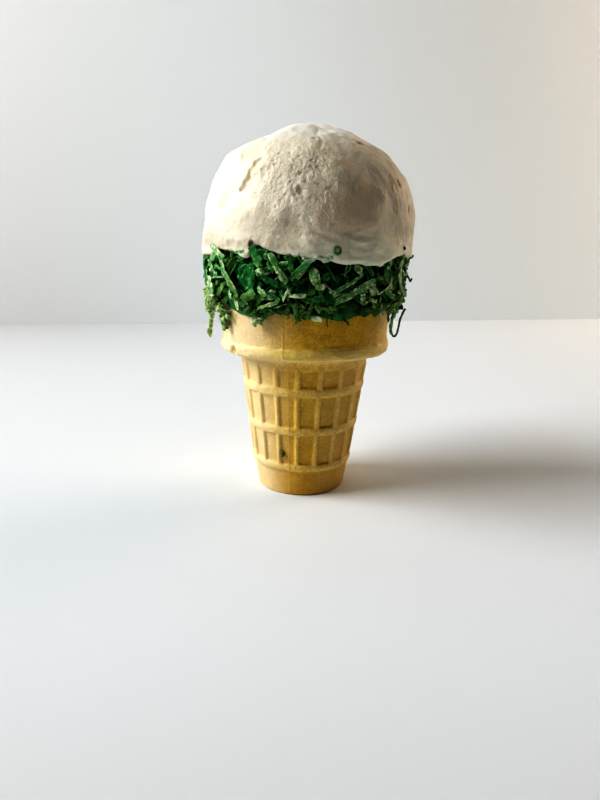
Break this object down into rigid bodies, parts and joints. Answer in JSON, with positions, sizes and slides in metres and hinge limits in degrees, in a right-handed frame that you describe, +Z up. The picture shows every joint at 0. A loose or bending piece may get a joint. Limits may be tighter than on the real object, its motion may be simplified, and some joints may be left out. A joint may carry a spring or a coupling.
{
  "type": "ice cream cone",
  "caption": "Flat-bottomed wafer cup standing upright with one large vanilla scoop over a green candy coat and a band of dyed shredded coconut.",
  "frame": {"origin": "centre of the cup's flat base", "axes": "+Z up along the cup's axis, -Y towards the side that the picture shows, +X to that side's right"},
  "size_m": [0.0624, 0.0618, 0.1076],
  "materials": {
    "wafer": "dry baked wafer, golden, finely pitted, matte",
    "candy": "set green candy melt, smooth and glossy",
    "coconut": "dyed shredded coconut, mixed dark to pale green, slightly waxy",
    "ice_cream": "frozen cream, soft sheen, rough and pitted where it was scooped"
  },
  "bodies": {
    "root": {"wafer_cup": "wafer", "candy_coat": "candy", "coconut_band": "coconut", "ice_cream": "ice_cream"}
  },
  "joints": []
}
